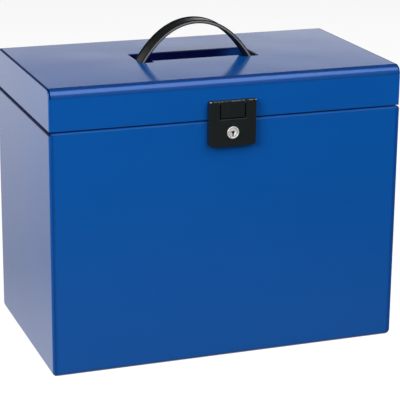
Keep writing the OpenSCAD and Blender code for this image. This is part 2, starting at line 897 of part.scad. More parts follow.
// Screw that holds the cam to the plug
module cam_screw() {
    color(steel)
        union() {
            rod_y(0, cam_y1, cam_y1 + 0.7, lock_z, 2*cam_screw_r);
            rod_y(0, cam_y0, cam_y1 + eps, lock_z, cam_screw_r - run_clear);
        }
}

body_wrap();
side_panel_left();
side_panel_right();
file_rail_left();
file_rail_right();
hinge_leaf_body();
hinge_pin();
hinge_rivets_body();
keeper();
keeper_rivets();
lid_wrap();
lid_end_left();
lid_end_right();
handle_tray();
hinge_leaf_lid();
hinge_rivets_lid();
hasp_tab();
hasp_tab_screws();
hasp_pin();
handle_strap();
handle_core();
strap_end_left();
strap_end_right();
hasp_flap();
lock_barrel();
lock_clip();
lock_plug();
lock_cam();
cam_screw();
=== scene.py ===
import math

import bmesh
import bpy
import numpy as np
from mathutils import Matrix, Vector
from mathutils.geometry import tessellate_polygon


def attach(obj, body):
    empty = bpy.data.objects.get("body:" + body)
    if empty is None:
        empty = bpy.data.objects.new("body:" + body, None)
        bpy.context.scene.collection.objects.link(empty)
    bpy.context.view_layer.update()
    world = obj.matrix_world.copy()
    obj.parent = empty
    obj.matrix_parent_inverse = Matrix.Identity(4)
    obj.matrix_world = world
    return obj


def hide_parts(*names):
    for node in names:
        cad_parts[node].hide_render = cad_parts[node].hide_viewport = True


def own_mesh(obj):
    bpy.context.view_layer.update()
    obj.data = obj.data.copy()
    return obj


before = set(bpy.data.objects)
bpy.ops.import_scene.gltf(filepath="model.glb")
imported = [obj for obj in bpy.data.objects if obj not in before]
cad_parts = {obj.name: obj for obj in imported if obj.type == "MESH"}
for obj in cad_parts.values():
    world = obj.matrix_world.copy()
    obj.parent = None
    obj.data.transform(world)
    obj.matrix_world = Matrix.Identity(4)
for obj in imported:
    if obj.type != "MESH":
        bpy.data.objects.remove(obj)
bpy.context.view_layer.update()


# ---- Camera ----
# A long lens, left of the box and a little above it, as the box was photographed: the left end panel,
# the front and the lid's top all show.

camera_place = Vector((-0.560, -1.566, 0.647))
camera_yaw = math.radians(19.9)
camera_pitch = math.radians(17.1)
camera_roll = math.radians(0.51)
focal_px = 1652
frame_px = 400


def aimed(yaw, pitch, roll):
    """Rotation of a camera that looks along +Y turned right by yaw and down by pitch, then rolled."""
    ahead = Vector((math.sin(yaw) * math.cos(pitch), math.cos(yaw) * math.cos(pitch), -math.sin(pitch)))
    right = Vector((math.cos(yaw), -math.sin(yaw), 0))
    up = right.cross(ahead)
    turned_right = math.cos(roll) * right + math.sin(roll) * up
    turned_up = math.cos(roll) * up - math.sin(roll) * right
    return Matrix((turned_right, turned_up, -ahead)).transposed()


lens = bpy.data.cameras.new("camera")
lens.sensor_width = 36
lens.lens = focal_px / frame_px * lens.sensor_width
camera = bpy.data.objects.new("camera", lens)
bpy.context.scene.collection.objects.link(camera)
camera.matrix_world = Matrix.Translation(camera_place) @ aimed(camera_yaw, camera_pitch, camera_roll).to_4x4()
bpy.context.scene.camera = camera


# ---- Case ----
# Two end panels and one long wrap that makes the front, the floor and the back. All are pressed from
# 0.8 mm cold-rolled steel, spot-welded edge to edge, sprayed with blue enamel and baked. Shapes are in
# millimetres from here on, and what a material measures is in metres.

mm = 0.001
sheet = 0.8
case_x, case_y, case_top = 183.0, 105.0, 248.0
wrap_end = 180.8
weld_gap = 0.06
foot_bend, rim_bend, upright_bend = 5.0, 2.5, 1.8
rim = 95.0
end_rim = 10.0
hem = 2 * sheet + 0.04
hem_end = 98.96
cut_edge = 0.12

enamel_blue, enamel_paler = (0.0028, 0.082, 0.350, 1), (0.0036, 0.090, 0.374, 1)
# Painted shade: the enamel is mixed towards these two navies on bends, in hollows and along seams and edges.
shade_navy = (0.0016, 0.0060, 0.070, 1)
edge_shade_navy = (0.0016, 0.0060, 0.050, 1)


class Wire:
    """One output socket. + - * < > and abs() on wires and numbers add Math nodes."""

    def __init__(self, wiring, socket):
        self.wiring = wiring
        self.socket = socket

    def __add__(self, other):
        return self.wiring.maths("ADD", self, other)

    def __mul__(self, other):
        return self.wiring.maths("MULTIPLY", self, other)

    def __sub__(self, other):
        return self.wiring.maths("SUBTRACT", self, other)

    def __rsub__(self, other):
        return self.wiring.maths("SUBTRACT", other, self)

    def __gt__(self, other):
        return self.wiring.maths("GREATER_THAN", self, other)

    def __lt__(self, other):
        return self.wiring.maths("LESS_THAN", self, other)

    def __abs__(self):
        return self.wiring.maths("ABSOLUTE", self, 0.0)

    __radd__ = __add__
    __rmul__ = __mul__


class Wiring:
    """A node tree under construction. node() adds one node and gives its output as a Wire."""

    def __init__(self, tree):
        self.tree = tree

    def node(self, kind, inputs=None, output=0, stops=None, **settings):
        made = self.tree.nodes.new(kind)
        for key, value in settings.items():
            setattr(made, key, value)
        if stops:
            ramp = made.color_ramp.elements
            while len(ramp) < len(stops):
                ramp.new(0.5)
            for element, (place, grey) in zip(ramp, stops):
                element.position = place
                element.color = (grey, grey, grey, 1)
        for key, value in (inputs or {}).items():
            self.join(made.inputs[key], value)
        return Wire(self, made.outputs[output])

    def join(self, socket, value):
        if isinstance(value, Wire):
            self.tree.links.new(value.socket, socket)
        else:
            socket.default_value = value

    def maths(self, operation, first, second):
        return self.node("ShaderNodeMath", {0: first, 1: second}, operation=operation)

    def ramp(self, value, stops):
        return self.node("ShaderNodeValToRGB", {0: value}, stops=stops)

    def rise(self, value, start, stop, low=0.0, high=1.0):
        """low up to start and high from stop on, with an even change between. stop may be the smaller one."""
        return self.node("ShaderNodeMapRange", {0: value, 1: start, 2: stop, 3: low, 4: high})

    def place(self):
        return self.node("ShaderNodeTexCoord", output="Object")

    def split(self, vector):
        apart = self.node("ShaderNodeSeparateXYZ", {0: vector}).socket.node
        return (Wire(self, apart.outputs[axis]) for axis in "XYZ")

    def axes(self):
        return self.split(self.place())

    def noise(self, scale, detail):
        return self.node("ShaderNodeTexNoise", {"Vector": self.place(), "Scale": scale, "Detail": detail})

    def bump(self, height, distance, over=None):
        inputs = {"Height": height, "Distance": distance}
        if over:
            inputs["Normal"] = over
        return self.node("ShaderNodeBump", inputs)

    def mix(self, share, low, high):
        return self.node("ShaderNodeMix", {0: share, 6: low, 7: high}, output=2, data_type="RGBA")


def finish(name):
    """A new material and the wiring of its nodes."""
    material = bpy.data.materials.new(name)
    material.use_nodes = True
    return material, Wiring(material.node_tree)


def paint(material, wiring, **inputs):
    """Sets or links the sockets of the material's Principled shader."""
    shader = material.node_tree.nodes["Principled BSDF"]
    for key, value in inputs.items():
        wiring.join(shader.inputs[key.replace("_", " ")], value)
    return material


def blue_enamel(name, painted_shade=None, painted_light=None):
    """Smooth gloss enamel with a fine orange peel, on panels that are a little less than flat.

    Where the first mask's share nears 1 the colour turns to a dull navy: painted shade on tight bends and in
    hollows. The second mask gives the share of the gloss that is lost, and the colour that then shows, matt:
    painted shade along edges and seams."""
    material, wiring = finish(name)
    colour = wiring.mix(wiring.noise(11, 3), enamel_blue, enamel_paler)
    roughness = wiring.noise(45, 3) * 0.05 + 0.10
    if painted_shade:
        # Painted shade: the colour is mixed towards navy by the first mask's share.
        share = painted_shade(wiring)
        colour = wiring.mix(share, colour, shade_navy)
        roughness = roughness + share * 0.25
    peel = wiring.bump(wiring.noise(700, 1), 0.000012)
    waves = wiring.bump(wiring.noise(7, 1), 0.0005, over=peel)
    paint(material, wiring, Base_Color=colour, Roughness=roughness, IOR=1.5, Normal=waves)
    if painted_light:
        # Painted shade: the matt part shows a darker colour, given by the second mask.
        share, shown = painted_light(wiring, colour)
        nodes = material.node_tree.nodes
        gloss = Wire(wiring, nodes["Principled BSDF"].outputs[0])
        matt = wiring.node("ShaderNodeBsdfPrincipled",
                           {"Base Color": shown, "Roughness": 0.6, "Specular IOR Level": 0.1})
        both = wiring.node("ShaderNodeMixShader", {0: share, 1: gloss, 2: matt})
        wiring.join(nodes["Material Output"].inputs["Surface"], both)
    return material


def shade_by_the_joints(wiring):
    """Painted shade, up to a third of the way to navy, on the last 3 mm of the wrap beside the welded joints."""
    x, y, z = wiring.axes()
    off_middle = abs(x)
    near = wiring.rise(off_middle, (wrap_end - 3.3) * mm, (wrap_end - 1.3) * mm, high=0.35)
    return near * (off_middle < (wrap_end + 0.1) * mm)


def shade_round_the_rim(wiring, colour):
    """Matt from where the rim bends in, with painted shade there: a quarter of the way to navy on the wrap
    and all the way on the end panels.
    """
    x, y, z = wiring.axes()
    on_ends = abs(x) > (wrap_end + 0.1) * mm
    share = wiring.rise(z, (case_top - 3.0) * mm, (case_top - 1.8) * mm) * (on_ends * 0.15 + 0.85)
    return share, wiring.mix(on_ends * 0.75 + 0.25, colour, edge_shade_navy)


enamel = blue_enamel("blue_enamel")
case_enamel = blue_enamel("case_enamel", shade_by_the_joints, shade_round_the_rim)


def quarter(steps):
    """Angles from 0 to a quarter turn."""
    return np.linspace(0, np.pi / 2, steps + 1)


def bent(corners, radii, steps=6, ends=False):
    """A line through right-angled corners, each rounded by an arc of its radius.

    An arc's centre is corner + radius * (a + b), where a and b are unit vectors towards the corners before
    and after it, and its points are centre - radius * (b cos t + a sin t) for t from 0 to a quarter turn.
    With ends the line is open and starts and stops in its first and last corner."""
    corners = np.asarray(corners, float)
    before = np.roll(corners, 1, axis=0) - corners
    after = np.roll(corners, -1, axis=0) - corners
    before = (before / np.linalg.norm(before, axis=1, keepdims=True))[:, None]
    after = (after / np.linalg.norm(after, axis=1, keepdims=True))[:, None]
    radii = np.asarray(radii, float)[:, None, None]
    turn = quarter(steps)[None, :, None]
    centres = corners[:, None] + radii * (before + after)
    line = (centres - radii * (after * np.cos(turn) + before * np.sin(turn))).reshape(-1, 2)
    return line[steps:-steps] if ends else line


def patch(points, ring=True, keep=None):
    """Vertices and quads of a grid of points, rows by columns. A ring joins its last column to its first.
    keep says, row by column, which quads stay."""
    rows, columns = points.shape[:2]
    number = np.arange(rows * columns).reshape(rows, columns)
    if ring:
        number = np.hstack([number, number[:, :1]])
    quads = np.stack([number[:-1, :-1], number[:-1, 1:], number[1:, 1:], number[1:, :-1]], axis=-1)
    quads = quads[keep] if keep is not None else quads.reshape(-1, 4)
    return points.reshape(-1, 3), quads.tolist()


def closing(outline):
    """One flat face over a closed outline."""
    return outline, [list(range(len(outline)))]


def build(name, patches, body, material, stands_for, wall=0.0, edge=0.0):
    """One object from patches in millimetres, welded and facing outwards.

    wall gives the sheet its thickness, inwards where positive, and edge rounds what is left sharp."""
    shift = np.cumsum([0] + [len(points) for points, faces in patches])
    vertices = np.concatenate([points for points, faces in patches]) * mm
    faces = [[int(start) + corner for corner in face] for start, part in zip(shift, patches) for face in part[1]]
    mesh = bpy.data.meshes.new(name)
    mesh.from_pydata(vertices.tolist(), [], faces)
    form = bmesh.new()
    form.from_mesh(mesh)
    bmesh.ops.remove_doubles(form, verts=form.verts, dist=2e-6)
    bmesh.ops.dissolve_degenerate(form, edges=form.edges, dist=1e-6)
    bmesh.ops.delete(form, geom=[v for v in form.verts if not v.link_faces], context="VERTS")
    bmesh.ops.recalc_face_normals(form, faces=form.faces)
    middle = sum((v.co for v in form.verts), Vector()) / len(form.verts)
    if sum(f.calc_area() * f.normal.dot(f.calc_center_median() - middle) for f in form.faces) < 0:
        bmesh.ops.reverse_faces(form, faces=form.faces)
    for f in form.faces:
        f.smooth = True
    form.to_mesh(mesh)
    form.free()
    mesh.materials.append(material)
    piece = bpy.data.objects.new(name, mesh)
    bpy.context.scene.collection.objects.link(piece)
    if wall:
        thick = piece.modifiers.new("wall", "SOLIDIFY")
        thick.thickness = abs(wall) * mm
        thick.offset = -1 if wall > 0 else 1
        thick.use_even_offset = True
    if edge:
        rounding = piece.modifiers.new("edges", "BEVEL")
        rounding.width = edge * mm
        rounding.segments = 2
        rounding.limit_method = "ANGLE"
        rounding.angle_limit = math.radians(50)
    shading = piece.modifiers.new("shading", "WEIGHTED_NORMAL")
    shading.weight = 100
    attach(piece, body)
    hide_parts(*stands_for)
    return piece


def joint_x(z):
    """How far from the middle the wrap meets the end panels: wrap_end, drawing in to the flat floor
    along the bottom bend as foot_bend - z grows."""
    low = np.clip((foot_bend - z) / foot_bend, 0, 1)
    return wrap_end - (foot_bend + wrap_end - case_x) * low


def case_wrap():
    """The side view's line, from the hem folded under the front rim to the one under the back rim, carried
    from end to end."""
    line = bent([(-hem_end, case_top - hem), (-rim, case_top - hem), (-rim, case_top), (-case_y, case_top),
                 (-case_y, 0), (case_y, 0), (case_y, case_top), (rim, case_top), (rim, case_top - hem),
                 (hem_end, case_top - hem)],
                [0, hem / 2, hem / 2, rim_bend, foot_bend, foot_bend, rim_bend, hem / 2, hem / 2, 0], 8, ends=True)
    ends = joint_x(line[:, 1]) - weld_gap
    points = np.stack([np.stack([side * ends, line[:, 0], line[:, 1]], axis=-1) for side in (-1, 1)], axis=1)
    return patch(points, ring=False)


def case_end(side):
    """Rows of the end panel's outline, from the flat out over the bend and along the formed edge, and last
    its own rim along the top.

    At angle a of the bend an edge of radius r stands in by r (1 - sin a) and back by r (1 - cos a)."""
    steps = 8
    rows = []
    for a in quarter(8):
        up, low, high = (r * (1 - np.sin(a)) for r in (upright_bend, foot_bend, rim_bend))
        y, z0, z1 = case_y - up, low, case_top - high
        share = 0.35 + 0.65 * np.sin(a)
        foot_corner, rim_corner = foot_bend * share, rim_bend * share
        rows.append(bent([(-y, z0), (y, z0), (y, z1), (rim, z1), (-rim, z1), (-y, z1)],
                         [foot_corner, foot_corner, rim_corner, 0, 0, rim_corner], steps))
    rows = np.array(rows + [rows[-1], rows[-1]])
    z = rows[-1, :, 1]
    low = np.clip((foot_bend - z) / foot_bend, 0, 1)
    high = np.clip((z - case_top + rim_bend) / rim_bend, 0, 1)
    radius = upright_bend + (foot_bend - upright_bend) * low + (rim_bend - upright_bend) * high
    back = [case_x - radius * (1 - np.cos(a)) for a in quarter(8)]
    edge_end = np.minimum(joint_x(z) + weld_gap, case_x - radius)
    x = np.array(back + [edge_end, np.full_like(z, case_x - end_rim)])
    points = np.stack([side * x, rows[:, :, 0], rows[:, :, 1]], axis=-1)
    column = np.arange(len(z))
    keep = np.ones((len(x) - 1, len(z)), bool)
    keep[-1] = (column >= 3 * (steps + 1)) & (column < 5 * (steps + 1) - 1)
    return [patch(points, keep=keep), closing(points[0])]


build("case_wrap", [case_wrap()], "case", case_enamel, ["body_wrap"], wall=sheet, edge=cut_edge)
build("case_end_left", case_end(-1), "case", case_enamel, ["side_panel_left"],
      wall=sheet, edge=cut_edge)
build("case_end_right", case_end(1), "case", case_enamel, ["side_panel_right"],
      wall=sheet, edge=cut_edge)


# ---- File rails, hinge and keeper ----
# Steel strips that hanging files hook over, welded under the rims and painted with the case; a piano
# hinge, painted too, on a bright pin; and the zinc-plated hook behind the hasp, held by two rivets.

def zinc_plate():
    """Bright zinc: fine spangle in the colour and the roughness."""
    material, wiring = finish("zinc_plate")
    spangle = wiring.noise(260, 4)
    colour = wiring.mix(spangle, (0.50, 0.51, 0.52, 1), (0.62, 0.63, 0.64, 1))
    roughness = spangle * 0.22 + 0.22
    return paint(material, wiring, Base_Color=colour, Metallic=1.0, Roughness=roughness,
                 Normal=wiring.bump(wiring.noise(900, 2), 0.00001))


def wear(node_names, material):
    """Gives CAD pieces their finish."""
    for name in node_names:
        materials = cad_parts[name].data.materials
        materials.clear()
        materials.append(material)


zinc = zinc_plate()
wear(["file_rail_left", "file_rail_right", "hinge_leaf_body", "hinge_leaf_lid"], enamel)
wear(["hinge_pin", "hinge_rivets_body", "hinge_rivets_lid", "keeper", "keeper_rivets"], zinc)


# ---- Lid ----
# One bent sheet for the front, top and back, hemmed along its lower edges, with wide soft bends, and
# two end panels with a relief slot beside each bend. The hand opening has a lip turned down all round.

lid_x, lid_y, lid_low, lid_top = 182.6, 104.6, 249.2, 290.0
lid_wrap_end = 180.4
lid_bend, lid_end_bend = 9.0, 1.8
lid_hem = 6.0
opening_x, opening_front, opening_back = 63.5, -9.0, 28.0
left_mouth_x, right_mouth_x, mouth_front = 49.5, 44.6, -16.5
opening_corner, inner_corner = 1.5, 1.6
lip_bend, lip_low = 0.8, 288.4


def at_height(line, z):
    """A plan outline lifted to a height."""
    return np.column_stack([line, np.full(len(line), z)])


def flat_with_hole(outer, hole):
    """Triangles between two closed outlines in one plane."""
    loops = [[Vector(point) for point in loop] for loop in (outer, hole)]
    return np.concatenate([outer, hole]), [list(face) for face in tessellate_polygon(loops)]


def opening_outline(grown, z):
    """The hand opening, widened at both ends for the strap, with its edges moved out by grown."""
    x, left, right = opening_x + grown, grown - left_mouth_x, right_mouth_x - grown
    front, mouth, back = opening_front - grown, mouth_front - grown, opening_back + grown
    r, inner = opening_corner + grown, inner_corner - grown
    line = bent([(-x, mouth), (left, mouth), (left, front), (right, front), (right, mouth), (x, mouth),
                 (x, back), (-x, back)], [r, r, inner, inner, r, r, r, r], 5)
    return at_height(line, z)


def lid_sheet():
    """The side view's line carried from end to end, less its flat top, which is filled in round the opening."""
    inside = lid_y - hem
    line = bent([(-inside, lid_low + lid_hem), (-inside, lid_low), (-lid_y, lid_low), (-lid_y, lid_top),
                 (lid_y, lid_top), (lid_y, lid_low), (inside, lid_low), (inside, lid_low + lid_hem)],
                [0, hem / 2, hem / 2, lid_bend, lid_bend, hem / 2, hem / 2, 0], 16, ends=True)
    reach, flat = lid_wrap_end - weld_gap, lid_y - lid_bend
    points = np.stack([np.column_stack([np.full(len(line), side * reach), line]) for side in (-1, 1)], axis=1)
    half = len(line) // 2
    plane = at_height(np.array([(-reach, -flat), (reach, -flat), (reach, flat), (-reach, flat)]), lid_top)
    turned = [opening_outline(lip_bend * (1 - np.sin(a)), lid_top - lip_bend * (1 - np.cos(a))) for a in quarter(5)]
    lip = np.array(turned + [opening_outline(0, lip_low)])
    return [patch(points[:half], ring=False), patch(points[half:], ring=False),
            flat_with_hole(plane, lip[0]), patch(lip)]


def lid_end(side):
    """Rows of the end panel's outline over its bend, left out along the bottom and, on the bend's inner
    third, where the relief slots are."""
    steps, bend_rows, slot_row = 12, 9, 6
    angles = np.append(quarter(bend_rows), np.pi / 2)
    rows = []
    for a in angles:
        inset = lid_end_bend * (1 - np.sin(a))
        y, top, corner = lid_y - inset, lid_top - inset, lid_bend - inset
        rows.append(bent([(-y, lid_low), (y, lid_low), (y, top), (-y, top)], [0, 0, corner, corner], steps))
    rows = np.array(rows)
    back = lid_end_bend * (1 - np.cos(angles))
    back[-1] = lid_x - lid_wrap_end
    x = np.repeat((lid_x - back)[:, None], rows.shape[1], axis=1)
    points = np.stack([side * x, rows[:, :, 0], rows[:, :, 1]], axis=-1)
    column = np.arange(rows.shape[1])
    keep = np.ones((len(angles) - 1, rows.shape[1]), bool)
    keep[slot_row:, (column >= 2 * (steps + 1)) & (column % (steps + 1) != steps)] = False
    keep[:, column < 2 * steps + 1] = False
    return [patch(points, keep=keep), closing(points[0])]


def shade_round_the_bends(wiring):
    """Painted shade along the lid's two long bends, by height over them, in bands below and above their
    highlight, and all but full navy down inside the opening's lip.
    """
    x, y, z = wiring.axes()
    height = wiring.rise(z, (lid_top - 10) * mm, lid_top * mm)
    # Painted shade: dark bands below and above the highlight on each long bend.
    bend = wiring.ramp(height, [(0.0, 0.0), (0.12, 0.34), (0.38, 0.36), (0.52, 0.0), (0.78, 0.0), (0.87, 0.60),
                                (1.0, 0.60)])
    along = bend * (abs(y) > (lid_y - lid_bend + 0.1) * mm)
    past_ends, past_sides = 2.9, 1.15
    middle, half = (opening_back + mouth_front) / 2, (opening_back - mouth_front) / 2
    in_lip = (abs(x) < (opening_x + past_ends) * mm) * (abs(y - middle * mm) < (half + past_sides) * mm)
    return along + in_lip * wiring.rise(z, (lid_top - 0.03) * mm, (lid_top - 0.4) * mm)


def shade_round_the_end(wiring, colour):
    """Matt, with painted shade in navy, on the end panels' upper bend and along their cut lower edge."""
    x, y, z = wiring.axes()
    bend = wiring.rise(z, (lid_top - 1.4) * mm, (lid_top - 0.9) * mm)
    return bend * 0.9 + (z < (lid_low + 0.7) * mm) * 0.9, edge_shade_navy


lid_enamel = blue_enamel("lid_enamel", shade_round_the_bends)
lid_end_enamel = blue_enamel("lid_end_enamel", painted_light=shade_round_the_end)
build("lid_sheet", lid_sheet(), "lid", lid_enamel, ["lid_wrap"], wall=sheet, edge=cut_edge)
build("lid_end_left_panel", lid_end(-1), "lid", lid_end_enamel, ["lid_end_left"],
      wall=sheet, edge=cut_edge)
build("lid_end_right_panel", lid_end(1), "lid", lid_end_enamel, ["lid_end_right"],
      wall=sheet, edge=cut_edge)


# ---- Finger recess ----
# A pan pressed from the same sheet and welded under the opening by its flange. Each end wall has a slot
# that an end of the strap runs out through.

pan_x, pan_front, pan_back, pan_floor = 66.5, -17.5, 29.0, 276.0
flange, flange_top, flange_corner = 7.0, 289.15, 5.0
pan_bend, floor_bend, wall_corner = 0.8, 2.0, 1.0
slot_back, slot_low = 5.5, 285.0


def recess_pan():
    """Rows of the pan's plan outline: flange, bend, wall with its slots, bottom bend and floor. Each slot
    runs from the end wall's front corner back to slot_back, and from slot_low up to the bend."""
    steps, bend_rows = 6, 4
    rows = [(flange, flange_top, flange_corner)]
    rows += [(pan_bend * (1 - math.sin(a)), flange_top - pan_bend * (1 - math.cos(a)),
              wall_corner + pan_bend * (1 - math.sin(a))) for a in quarter(bend_rows)]
    rows += [(0.0, slot_low, wall_corner)]
    rows += [(-floor_bend * (1 - math.cos(a)), pan_floor + floor_bend * (1 - math.sin(a)), wall_corner)
             for a in quarter(6)]
    points = []
    for grown, z, corner in rows:
        x, front, back = pan_x + grown, pan_front - grown, pan_back + grown
        near = front + corner
        line = bent([(-x, front), (x, front), (x, near), (x, slot_back), (x, back), (-x, back),
                     (-x, slot_back), (-x, near)], [corner, corner, 0, 0, corner, corner, 0, 0], steps)
        points.append(at_height(line, z))
    points = np.array(points)
    column = np.arange(points.shape[1])
    keep = np.ones((len(rows) - 1, len(column)), bool)
    keep[bend_rows + 1, (column == 3 * (steps + 1) - 1) | (column == 7 * (steps + 1) - 1)] = False
    return [patch(points, keep=keep), closing(points[-1])]


def recess_enamel():
    """Enamel coloured near navy as painted shade down in the pan, with a bluer painted patch of light near the
    right end.
    """
    material, wiring = finish("recess_enamel")
    x, y, z = wiring.axes()
    # Painted light: a bluer patch towards the pan's right end; elsewhere painted shade in near navy.
    lit_right_end = wiring.rise(x, 0.034, 0.052)
    colour = wiring.mix(lit_right_end * wiring.noise(60, 2) * 1.4, (0.0016, 0.0030, 0.050, 1), (0.0032, 0.042, 0.19, 1))
    return paint(material, wiring, Base_Color=colour, Roughness=wiring.noise(45, 3) * 0.1 + 0.2, IOR=1.4)


build("recess_pan", recess_pan(), "lid", recess_enamel(), ["handle_tray"], wall=-sheet, edge=0.1)


# ---- Strap handle ----
# A spring-steel strip moulded into black vinyl, with a bead along each edge. It springs up in an arch, and
# its flat ends lie under the lid, each with a stop bar that is too wide for the slot.

strap_x, strap_y = -3.4, -5.5
arch_half, arch_rise = 57.3, 38.6
band_half, bead_half = 1.25, 1.95
strap_half, bead_reach = 10.5, 1.3
strip_half, strip_half_thick = 5.5, 0.3
toe_z, toe_middle = 286.75, -5.0
toe_start, bar_start, bar_end, bar_half = 60.9, 73.3, 77.3, 14.0
heel_bend = 2.6


def black_vinyl():
    """Smooth vinyl with a fine grain, duller in patches where hands have held it, and a pale painted highlight
    along the outer sides of the beads."""
    material, wiring = finish("black_vinyl")
    x, y, z = wiring.axes()
    # Painted highlight: a pale line along the outer sides of the beads, above the lid.
    across = abs(y - strap_y * mm)
    painted_light = wiring.rise(across, (strap_half - 0.22) * mm, (strap_half - 0.04) * mm) * (z > (lid_top - 0.5) * mm)
    colour = wiring.mix(wiring.noise(40, 3), (0.0030, 0.0036, 0.0036, 1), (0.0060, 0.0070, 0.0070, 1))
    colour = wiring.mix(painted_light * 0.9, colour, (0.17, 0.175, 0.18, 1))
    grain = wiring.bump(wiring.noise(1800, 2), 0.00004)
    return paint(material, wiring, Base_Color=colour, Roughness=wiring.noise(70, 3) * 0.14 + 0.12, IOR=1.4,
                 Specular_IOR_Level=0.07, Normal=grain)


vinyl = black_vinyl()


def strap_section(bead):
    """Places w across the strap and the half thickness at each, once round the section.

    The half thickness is the band's, or crest * sqrt(1 - (past / bead_reach)^2) where that is more. past is
    how far w lies beyond a bead's middle line, and crest grows from the band's to the bead's half thickness
    as bead goes from 0 to 1."""
    w = strap_half * np.sin(np.linspace(-np.pi / 2, np.pi / 2, 49))
    past = np.abs(w) - (strap_half - bead_reach)
    crest = band_half + (bead_half - band_half) * bead[:, None]
    half = np.maximum(np.where(past < 0, band_half, 0),
                      crest * np.sqrt(np.clip(1 - (past / bead_reach) ** 2, 0, 1)))
    return np.concatenate([w, w[-2:0:-1]]), np.hstack([half, -half[:, -2:0:-1]])


def arch(u):
    """Middle line over the lid: x = half span * u, rise = full rise * (1 - u^2) (1 + 0.16 u^2), and the
    angle at which it falls away, from the rise's slope."""
    fullness = 0.16
    rise = arch_rise * (1 - u ** 2) * (1 + fullness * u ** 2)
    slope = arch_rise * (-2 * u * (1 + fullness * u ** 2) + 2 * fullness * u * (1 - u ** 2)) / arch_half
    return arch_half * u, lid_top + rise, -np.arctan(slope)


def strap_line():
    """Middle line from the right toe over the arch to the left toe, the outward normal at each point, and
    how far the beads stand out there.

    The arch ends where it is as high as a heel arc of its own slope over the flat toe:
    z = toe_z + heel_bend (1 - cos of the slope angle)."""
    u = np.linspace(1, 1.2, 400)
    x, z, fall = arch(u)
    last = u[np.argmin(np.abs(z - toe_z - heel_bend * (1 - np.cos(fall))))]
    x, z, fall = arch(last * np.sin(np.linspace(np.pi / 2, 0, 44)))
    turn = np.linspace(0, fall[0], 9)[:-1]
    heel_x = x[0] + heel_bend * (math.sin(fall[0]) - np.sin(turn))
    heel_z = toe_z + heel_bend * (1 - np.cos(turn))
    toe = np.array([15.0, 10.0, 4.0, 1.0])
    flat = np.zeros(len(toe))
    bead = np.concatenate([flat, np.linspace(0, 1, len(turn)), np.ones(len(x))])
    x = np.concatenate([heel_x[0] + toe, heel_x, x])
    z = np.concatenate([flat + toe_z, heel_z, z])
    fall = np.concatenate([flat, turn, fall])
    x, fall = (np.concatenate([half, -half[-2::-1]]) for half in (x, fall))
    z, bead = (np.concatenate([half, half[-2::-1]]) for half in (z, bead))
    return np.column_stack([x, z]), np.column_stack([np.sin(fall), np.cos(fall)]), bead


def strap_skin():
    """The section carried along the middle line: point = line + outward * half thickness, w across. Its
    flat ends are a little slimmer and narrower, inside the toes."""
    line, out, bead = strap_line()
    w, half = strap_section(bead)
    on_toe = bead[:, None] == 0
    half = half * np.where(on_toe, 0.96, 1.0)
    x = strap_x + line[:, :1] + out[:, :1] * half
    z = line[:, 1:] + out[:, 1:] * half
    y = strap_y + w * np.where(on_toe, 0.99, 1.0)
    points = np.stack([x, y, z], axis=-1)
    return [patch(points), closing(points[0]), closing(points[-1])]


def spring_strip():
    """A flat strip carried along the arch's middle line."""
    x, z, fall = (value[:, None] for value in arch(np.linspace(-0.98, 0.98, 60)))
    w = strip_half * np.array([[-1, 1, 1, -1]])
    h = strip_half_thick * np.array([[1, 1, -1, -1]])
    points = np.stack([strap_x + x + h * np.sin(fall), strap_y + w + 0 * x, z + h * np.cos(fall)], axis=-1)
    return [patch(points), closing(points[0]), closing(points[-1])]


def strap_toe(side):
    """Plan outline of a strap end with its stop bar, from the heel outwards, carried from bottom to top."""
    line = bent([(toe_start, -strap_half), (bar_start, -strap_half), (bar_start, -bar_half), (bar_end, -bar_half),
                 (bar_end, bar_half), (bar_start, bar_half), (bar_start, strap_half), (toe_start, strap_half)],
                [0.6, 0.8, 0.9, 0.9, 0.9, 0.9, 0.8, 0.6], 4)
    plan = np.column_stack([toe_middle + side * line[:, 0], strap_y + line[:, 1]])
    points = np.array([at_height(plan, z) for z in (toe_z - band_half, toe_z + band_half)])
    return [patch(points), closing(points[0]), closing(points[1])]


strap = build("strap", strap_skin(), "strap", vinyl, ["handle_strap"])
strip = build("spring_strip", spring_strip(), "strap", zinc, ["handle_core"])

# The strap and the spring strip each get a mesh of their own.
for piece in (strap, strip):
    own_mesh(piece)
build("strap_toe_left", strap_toe(-1), "strap_left", vinyl, ["strap_end_left"], edge=0.45)
build("strap_toe_right", strap_toe(1), "strap_right", vinyl, ["strap_end_right"], edge=0.45)


# ---- Hasp ----
# Two zinc castings in black enamel: a block screwed to the lid, and a hollow flap that hangs from it on a
# steel pin and closes over the keeper.

hasp_front, hasp_back = -112.2, -105.4
hasp_depth = hasp_back - hasp_front
hasp_half, draft = 24.5, 0.4
hasp_low, hasp_top = 222.7, 269.3
hasp_edge, hasp_top_edge, hasp_corner, horn_corner = 0.9, 1.3, 3.5, 0.6
notch_half, notch_low = 13.5, 250.5
tab_half, tab_low, tab_corner, tab_shoulder = 12.5, 251.5, 0.7, 1.0
barrel_r = 3.2
hollow_x, hollow_front, hollow_low, hollow_top = 21.3, -110.6, 224.9, 248.5
lock_z = 236.9
boss_r, boss_back = 7.55, -109.2
scoop_x, scoop_z, scoop_deep, scoop_middle = 4.3, 2.4, 0.75, 247.3


